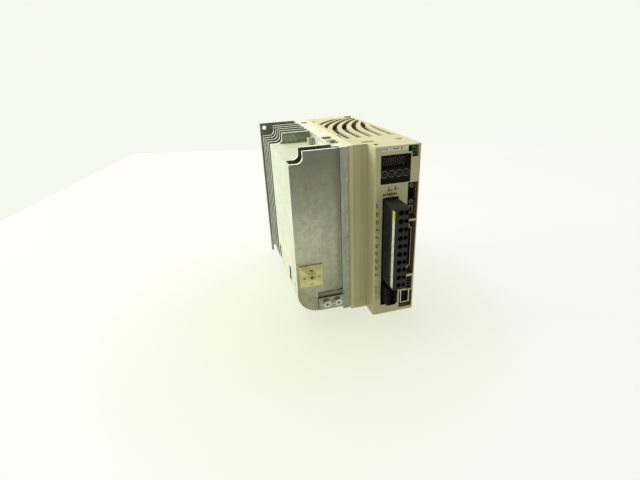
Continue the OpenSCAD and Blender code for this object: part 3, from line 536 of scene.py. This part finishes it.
MATERIALS = {
    "beige_plastic": cover_plastic(),
    "cast_aluminium": cast_metal("cast_aluminium", (0.46, 0.48, 0.37), (0.20, 0.215, 0.16), 0.40,
                                 edges=(0.92, 0.94, 0.80)),
    "sheet_aluminium": cast_metal("sheet_aluminium", (0.42, 0.43, 0.36), (0.24, 0.25, 0.20), 0.36,
                                  (1, 1, 0.04), (0.8, 0.82, 0.68)),
    "gold_anodised": cast_metal("gold_anodised", (0.66, 0.45, 0.12), (0.50, 0.32, 0.08), 0.35, (1, 1, 0.1)),
    "painted_sheet": painted_sheet(),
    "nickel": plated("nickel", (0.52, 0.51, 0.43), (0.22, 0.22, 0.17), 0.32),
    "zinc_steel": plated("zinc_steel", (0.66, 0.66, 0.56), (0.26, 0.26, 0.21), 0.24),
    "tinned_brass": plated("tinned_brass", (0.76, 0.70, 0.50), (0.60, 0.52, 0.32), 0.25),
    "circuit_board": circuit_board(),
    "smoked_window": window_glass(),
    "label": printed_film("label", (0.80, 0.81, 0.68), (0.70, 0.71, 0.58)),
}
MATERIALS.update({name: moulded_plastic(name, *finish) for name, finish in PLASTICS.items()})

# Finishes of single nodes that differ from the rest of their slot
NODE_MATERIALS = {
    "front_plate": weathered_plate_with_painted_light(),
    "m3_screws": plated("dull_zinc", (0.16, 0.15, 0.12), (0.08, 0.075, 0.06), 0.45),
    "standoffs": plated("dull_spacer", (0.16, 0.14, 0.09), (0.09, 0.08, 0.05), 0.45),
    "encoder_shell": plated("bright_nickel", (0.95, 0.94, 0.86), (0.62, 0.61, 0.52), 0.3),
    "serial_nuts": plated("nut_nickel", (0.30, 0.295, 0.24), (0.12, 0.12, 0.09), 0.34),
    "tie_mount": tie_plastic(),
    "ground_block": ground_metal(),
    "ground_screws": screw_metal(),
}

# Rounding of the edges of each CAD node that shows, in mm
EDGE_ROUNDING = {
    "front_cover": 0.45, "main_case": 0.4, "heat_sink": 0.35, "front_plate": 0.5, "side_cover": 0.3,
    "mounting_plate": 0.25, "tie_mount": 0.35, "ground_block": 0.4, "ground_screws": 0.18,
    "ground_washers": 0.12, "standoff_post": 0.2, "retaining_clip": 0.25, "display_bezel": 0.15,
    "display_window": 0.1, "mode_button": 0.3, "up_button": 0.3, "down_button": 0.3,
    "set_button": 0.3, "terminal_header": 0.2, "power_plug": 0.3, "motor_plug": 0.3,
    "io_socket": 0.15, "io_shell": 0.1, "encoder_socket": 0.15, "encoder_shell": 0.15,
    "serial_socket": 0.15, "serial_nuts": 0.15, "usb_socket": 0.1, "safety_socket": 0.2,
    "monitor_socket": 0.15,
}


def finish_cad_nodes():
    """Gives every CAD node its slot's material, and rounds the edges of those that show."""
    slots = {part["node"]: part["material_slot"] for part in frame["record"]["subparts"]}
    for name, node in NODES.items():
        node.data.materials.clear()
        node.data.materials.append(NODE_MATERIALS.get(name) or MATERIALS[slots[name]])
        if name in EDGE_ROUNDING:
            weld = node.modifiers.new("weld", "WELD")
            weld.merge_threshold = 0.00001
            flatten = node.modifiers.new("flatten", "DECIMATE")
            flatten.decimate_type = "DISSOLVE"
            flatten.angle_limit = math.radians(1)
            bevel = node.modifiers.new("rounding", "BEVEL")
            bevel.width = EDGE_ROUNDING[name] * MM
            bevel.segments = 3
            bevel.limit_method = "ANGLE"
            bevel.angle_limit = math.radians(40)
            bevel.harden_normals = True
            bevel.use_clamp_overlap = True


# ---- Fine pieces ----

def add_piece(name, mesh, body, slot, material=None):
    """Links a mesh as a piece that moves with a body, with its slot's material unless one is given."""
    piece = bpy.data.objects.new(name, mesh)
    bpy.context.scene.collection.objects.link(piece)
    mesh.materials.append(material or MATERIALS[slot])
    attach(piece, body)
    return piece


def front_face(depth):
    return lambda across, up, out: at(across, depth + out, up)


def left_face(x):
    return lambda across, up, out: at(x - out, across, up)


def right_face(x):
    return lambda across, up, out: at(x + out, across, up)


def bars_mesh(name, bars, face, thickness):
    """Thin slabs with cut corners; each bar is (across, up, width, height) in mm around its centre."""
    work = bmesh.new()
    for across, up, width, height in bars:
        corner = min(width, height) * 0.3
        outline = []
        for sx, sy in ((1, 1), (-1, 1), (-1, -1), (1, -1)):
            near_x = (sx * (width / 2 - corner), sy * height / 2)
            near_y = (sx * width / 2, sy * (height / 2 - corner))
            outline += [near_y, near_x] if sx * sy > 0 else [near_x, near_y]
        base = [work.verts.new(face(across + x, up + y, 0)) for x, y in outline]
        top = [work.verts.new(face(across + x, up + y, thickness)) for x, y in outline]
        work.faces.new(base)
        work.faces.new(top)
        for i in range(len(outline)):
            j = (i + 1) % len(outline)
            work.faces.new((base[i], base[j], top[j], top[i]))
    bmesh.ops.recalc_face_normals(work, faces=work.faces)
    mesh = bpy.data.meshes.new(name)
    work.to_mesh(mesh)
    work.free()
    return mesh


def ring_mesh(name, centres, major, minor, face, turns=48, sides=10):
    """Raised rims: one torus per centre, half sunk in the face."""
    work = bmesh.new()
    for across, up in centres:
        loops = []
        for i in range(turns):
            a = 2 * math.pi * i / turns
            loop = []
            for k in range(sides):
                b = 2 * math.pi * k / sides
                r = major + minor * math.cos(b)
                place = face(across + r * math.cos(a), up + r * math.sin(a), minor * math.sin(b))
                loop.append(work.verts.new(place))
            loops.append(loop)
        for i in range(turns):
            this, following = loops[i], loops[(i + 1) % turns]
            for k in range(sides):
                m = (k + 1) % sides
                face_piece = work.faces.new((this[k], following[k], following[m], this[m]))
                face_piece.smooth = True
    bmesh.ops.recalc_face_normals(work, faces=work.faces)
    mesh = bpy.data.meshes.new(name)
    work.to_mesh(mesh)
    work.free()
    return mesh


def ink(name, colour, shade):
    """Screen-printed ink, a little uneven."""
    return moulded_plastic(name, colour, shade, 0.5, specular=0.3)


def centre_of(node):
    low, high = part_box(node)
    return (low + high) / 2


def panel(point):
    """Panel measures in mm of a point in the row frame."""
    return (point.x - LEFT) / MM, -point.y / MM, (point.z - BOTTOM) / MM


def word(left, up, lengths, height, gap=0.35):
    """A run of plain bars that stands where a word would be printed."""
    bars = []
    for length in lengths:
        bars.append((left + length / 2, up, length, height))
        left += length + gap
    return bars


# Poles of the two plugs in mm: first one above the plug's lower end, pitch and number
POWER_POLE_Z, POWER_PITCH, POWER_POLES = 4.3, 7.5, 10
MOTOR_POLE_Z, MOTOR_PITCH, MOTOR_POLES = 4.5, 5.6, 3

# Thickness of printed ink in mm
INK_T = 0.03


def add_print():
    """Plain printed bars beside the poles, under the buttons and on the name and plug labels."""
    dark = ink("dark_ink", (0.030, 0.028, 0.018), (0.055, 0.050, 0.033))
    cover_face = panel(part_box("front_cover")[0])[1]
    random = Random(7)
    bars = []
    plug_low = panel(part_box("power_plug")[0])[2]
    poles = [plug_low + POWER_POLE_Z + i * POWER_PITCH for i in range(POWER_POLES)]
    motor_low = panel(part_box("motor_plug")[0])[2]
    poles += [motor_low + MOTOR_POLE_Z + i * MOTOR_PITCH for i in range(MOTOR_POLES)]
    # beside each pole a mark and up to two more, smaller beside the motor plug
    for z in poles:
        strong = 1 if z > plug_low else 0.6
        bars.append((70.9, z + 0.5, 0.9 * strong, 2.5 * strong))
        if random.random() < 0.75:
            bars.append((72.4 + random.random() * 0.5, z - 0.1, 1.8 * strong, 0.95))
        if random.random() < 0.5:
            bars.append((71.6, z - 1.7, 2.2 * strong, 0.8))
    # three rows of words between the buttons and the power plug
    bars += word(76.3, 119.3, (2.2,), 1.9, 0.8) + word(79.6, 119.6, (1.5, 1.8, 1.4, 1.6, 1.2), 2.1, 0.5)
    bars += word(80.2, 122.8, (3.2, 1.2), 1.1) + word(86.2, 123.6, (3.2, 1.0), 1.1)
    bars += word(81.0, 124.8, (1.8,), 1.1) + word(87.0, 125.6, (1.8,), 1.1)
    add_piece("cover_print", bars_mesh("cover_print", bars, front_face(cover_face), INK_T), "drive",
              "black_plastic", dark)

    low, high = (panel(point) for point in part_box("name_label"))
    bars = []
    x = low[0] + 1.4
    while x < high[0] - 1.6:
        length = 0.5 + random.random() * 0.6
        if random.random() > 0.2:
            bars.append((x, (low[2] + high[2]) / 2, length, 0.9 + random.random() * 0.7))
        x += length + 0.45
    add_piece("name_label_print", bars_mesh("name_label_print", bars, front_face(low[1]), INK_T), "drive",
              "black_plastic", dark)

    low, high = (panel(point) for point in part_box("plug_label"))
    middle = (low[1] + high[1]) / 2
    white_poles = poles[:POWER_POLES - 1]
    ticks = [(middle + 0.4, z + 0.6, 1.6, 0.7) for z in white_poles]
    ticks += [(middle - 0.9, z - 1.4, 0.8, 0.8) for z in white_poles[::2]]
    add_piece("plug_label_print", bars_mesh("plug_label_print", ticks, left_face(low[0]), INK_T),
              "power_plug", "black_plastic", dark)
    yellow = ink("yellow_ink", (0.66, 0.68, 0.02), (0.56, 0.58, 0.02))
    top_z = high[2]
    patch = [(middle, top_z - 4.2, abs(high[1] - low[1]) - 0.2, 8.0)]
    add_piece("plug_label_end", bars_mesh("plug_label_end", patch, left_face(low[0]), 0.05), "power_plug",
              "label", yellow)


def add_rating_print():
    """Table of plain bars on the rating label of the right side."""
    dark = ink("rating_ink", (0.05, 0.05, 0.045), (0.09, 0.09, 0.08))
    low, high = (panel(point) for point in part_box("rating_label"))
    rear, front = min(low[1], high[1]), max(low[1], high[1])
    bottom = low[2]
    middle = (rear + front) / 2
    rows, row_h, rule_w = 5, 8, 0.35
    table_w, table_h = front - rear - 8, rows * row_h
    bars = [(middle, bottom + row_h + i * row_h, table_w, rule_w) for i in range(rows + 1)]
    bars += [(middle + side * table_w / 2, bottom + row_h + table_h / 2, rule_w, table_h)
             for side in (-1, -0.2, 1)]
    random = Random(11)
    for i in range(rows):
        for start in (rear + 6, rear + 36):
            for step in range(3 + i % 2):
                length = 2.5 + random.random() * 3
                bars.append((start + 2.5 + step * 7, bottom + row_h * 1.5 + i * row_h, length, 1.4))
    add_piece("rating_print", bars_mesh("rating_print", bars, right_face(high[0]), INK_T), "drive",
              "black_plastic", dark)


def add_button_rims():
    """Thin raised rim around each push button."""
    places = [panel(centre_of(name)) for name in ("mode_button", "up_button", "down_button", "set_button")]
    face = panel(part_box("display_bezel")[0])[1]
    rim_r, rim_t = 2.95, 0.2
    mesh = ring_mesh("button_rims", [(x, z) for x, _, z in places], rim_r, rim_t, front_face(face))
    add_piece("button_rims", mesh, "drive", "button_plastic", rim_plastic())


def add_plug_ribs():
    """Raised ribs and a coding boss on the left side of the power plug."""
    sunk, height = 0.05, 0.8
    face = left_face(panel(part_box("power_plug")[0])[0] + sunk)
    # two long ribs, two blocks between them and a comb of five below
    ribs = [(183.2, 88, 1.6, 46), (188.6, 90, 1.4, 44), (186, 66.5, 4.6, 3.2), (186, 88, 2.2, 5)]
    ribs += [(186, 46 + i * 3.4, 4.4, 1.2) for i in range(5)]
    mesh = bars_mesh("plug_ribs", ribs, face, height)
    piece = add_piece("plug_ribs", mesh, "power_plug", "dark_grey_plastic")
    rounding = piece.modifiers.new("rounding", "BEVEL")
    rounding.width = 0.2 * MM
    rounding.segments = 2


# Floor: outline in metres, clockwise from its rear left corner and far out of view in front; then its
# glow, and the distances over which the soft shade at the part's front left fades, in metres
FLOOR_OUTLINE = [(-0.32, 0.736), (0.866, 0.364), (0.70, -0.14), (4, -4), (-4, -4), (-0.80, -0.84)]
FLOOR_GLOW = 0.795
SHADE_CENTRE = at(14, 150, 0)
SHADE_INNER = 0.03
SHADE_OUTER = 0.21


def add_stage():
    """Pale floor whose brightness is mostly its own glow, like the lit paper of a light tent."""
    mesh = bpy.data.meshes.new("floor")
    z = CAD_BOX[0][2]
    mesh.from_pydata([(x, y, z) for x, y in FLOOR_OUTLINE], [], [tuple(range(len(FLOOR_OUTLINE)))])
    floor = bpy.data.objects.new("floor", mesh)
    bpy.context.scene.collection.objects.link(floor)
    shader = Shader("floor_paper")
    soft = shader.spread(shader.noise(3, 2), 0.3, 0.7)
    shader.set(Base_Color=shader.blend(soft, (0.12, 0.125, 0.10), (0.135, 0.14, 0.115)), Roughness=0.8)
    shader.set(Specular_IOR_Level=0.1)
    shade = shader.near(SHADE_CENTRE, "XY", SHADE_INNER, SHADE_OUTER)
    shader.set(Emission_Color=shader.blend(shade, (1.0, 1.0, 0.95), (0.89, 0.92, 0.73)))
    shader.set(Emission_Strength=FLOOR_GLOW)
    mesh.materials.append(shader.material)


add_camera()
add_stage()
add_world(seen=(0.925, 0.945, 0.855), rear=(0.80, 0.82, 0.72), front=(0.17, 0.17, 0.14))
LIT_POINT = (0, -0.1, 0)
add_area_light("top_light", place=(-0.3, 0.35, 1.2), target=LIT_POINT, size=(1.2, 1.0), power=15)
add_area_light("left_light", place=(-1.3, 0.5, 0.5), target=LIT_POINT, size=(0.8, 0.8), power=16)
bpy.context.scene.view_settings.view_transform = "Standard"

finish_cad_nodes()
add_print()
add_rating_print()
add_button_rims()
add_plug_ribs()
